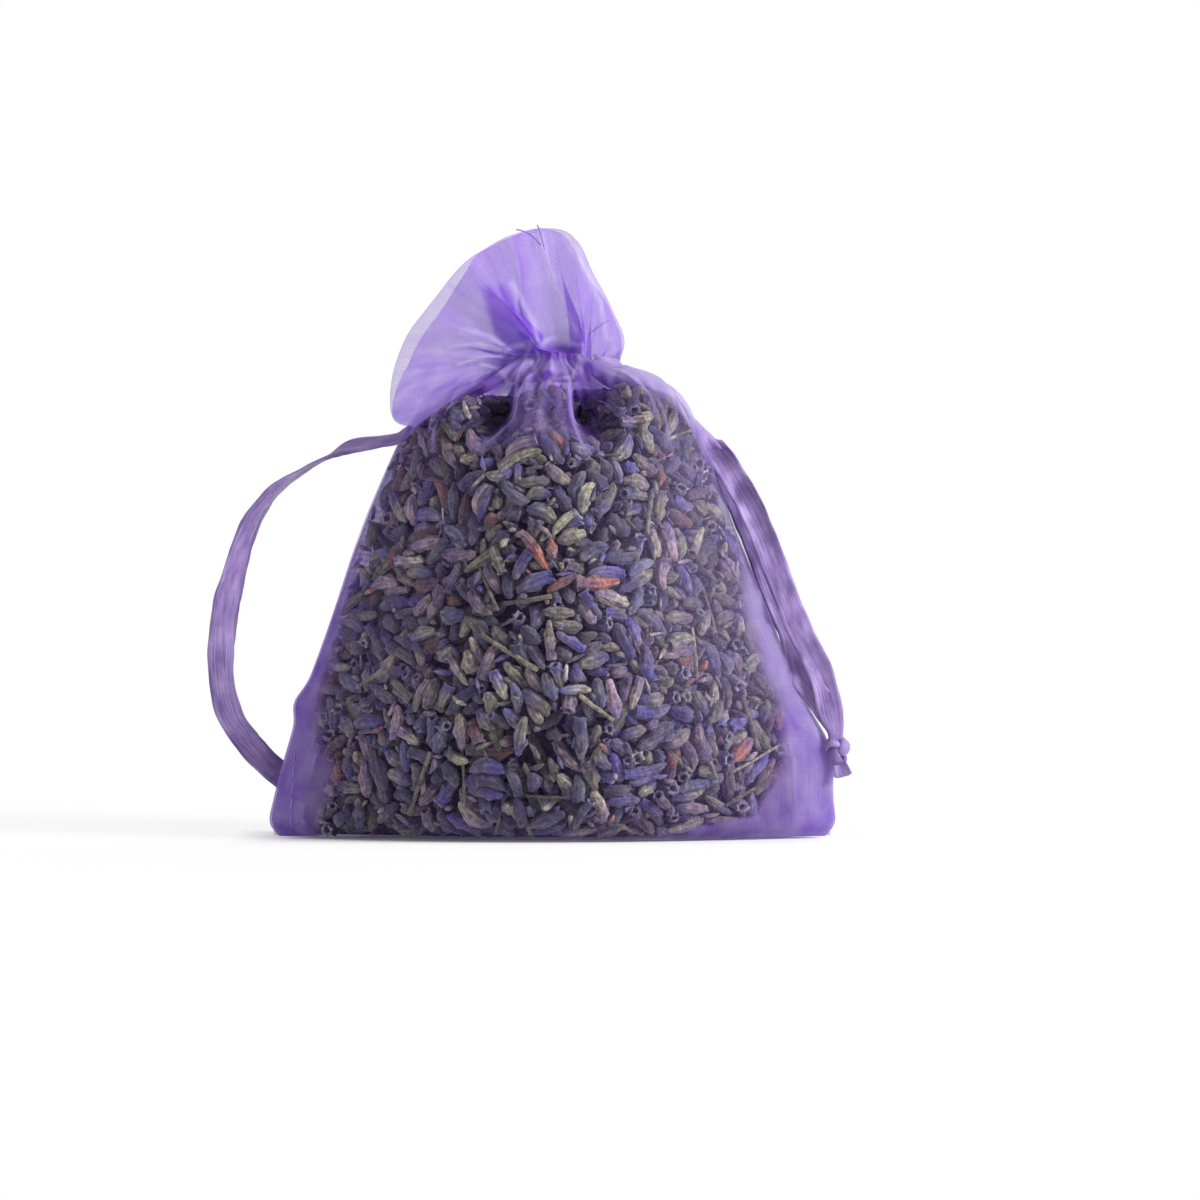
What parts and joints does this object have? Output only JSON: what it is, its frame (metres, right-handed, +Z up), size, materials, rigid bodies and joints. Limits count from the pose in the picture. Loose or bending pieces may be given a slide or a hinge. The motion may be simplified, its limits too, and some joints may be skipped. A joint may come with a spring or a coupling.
{
  "type": "lavender sachet",
  "caption": "Sheer organza drawstring pouch filled with dried lavender buds, gathered at the neck by satin ribbons that are knotted at either side, standing on its base.",
  "frame": {"origin": "middle of the flat that the pouch stands on", "axes": "+Z up through the neck, +X to the right along the wide face, -Y towards the front panel"},
  "size_m": [0.0798, 0.0359, 0.0758],
  "materials": {
    "organza": "sheer purple organza with a fine open weave and a soft sheen",
    "seam": "doubled organza with a line of stitching",
    "lavender": "dry dull plant matter, blue-violet to grey-green",
    "satin": "narrow purple satin ribbon with a streaked sheen"
  },
  "bodies": {
    "bag": {"front_panel": "organza", "back_panel": "organza", "bottom_seam": "seam", "left_side_seam": "seam", "right_side_seam": "seam", "left_ruffle_seam": "seam", "right_ruffle_seam": "seam", "lavender_fill": "lavender", "lavender_bud_front_1": "lavender", "lavender_bud_front_2": "lavender", "lavender_bud_front_3": "lavender", "lavender_bud_front_4": "lavender", "lavender_bud_front_5": "lavender", "lavender_bud_front_6": "lavender", "lavender_bud_front_7": "lavender", "lavender_bud_front_8": "lavender", "lavender_bud_front_9": "lavender", "lavender_bud_front_10": "lavender", "lavender_bud_front_11": "lavender", "lavender_bud_front_12": "lavender", "lavender_bud_front_13": "lavender", "lavender_bud_front_14": "lavender", "lavender_bud_front_15": "lavender", "lavender_bud_front_16": "lavender", "lavender_bud_front_17": "lavender", "lavender_bud_front_18": "lavender", "lavender_bud_front_19": "lavender", "lavender_bud_front_20": "lavender", "lavender_bud_back_1": "lavender", "lavender_bud_back_2": "lavender", "lavender_bud_back_3": "lavender", "lavender_bud_back_4": "lavender", "lavender_bud_back_5": "lavender", "lavender_bud_back_6": "lavender", "lavender_bud_back_7": "lavender", "lavender_bud_back_8": "lavender", "lavender_bud_back_9": "lavender", "lavender_bud_back_10": "lavender", "lavender_bud_back_11": "lavender", "lavender_bud_back_12": "lavender", "lavender_bud_back_13": "lavender", "lavender_bud_back_14": "lavender"},
    "left_drawstring": {"left_drawstring_run": "satin"},
    "left_loop": {"left_strand_front": "satin", "left_strand_back": "satin", "left_knot": "satin", "left_tail_front": "satin", "left_tail_back": "satin"},
    "right_drawstring": {"right_drawstring_run": "satin"},
    "right_loop": {"right_strand_front": "satin", "right_strand_back": "satin", "right_knot": "satin", "right_tail_front": "satin", "right_tail_back": "satin"}
  },
  "joints": [
    {"name": "left_pull", "type": "slide", "parent": "bag", "child": "left_drawstring", "axis": [-1, 0, 0], "range_m": [0, 0.006]},
    {"name": "left_swing", "type": "hinge", "parent": "left_drawstring", "child": "left_loop", "pos_m": [-0.02057, 0, 0.05075], "axis": [0, 1, 0], "range_deg": [0, 100]},
    {"name": "right_pull", "type": "slide", "parent": "bag", "child": "right_drawstring", "axis": [1, 0, 0], "range_m": [0, 0.006]},
    {"name": "right_swing", "type": "hinge", "parent": "right_drawstring", "child": "right_loop", "pos_m": [0.01837, 0, 0.05233], "axis": [0, -1, 0], "range_deg": [0, 100]}
  ]
}
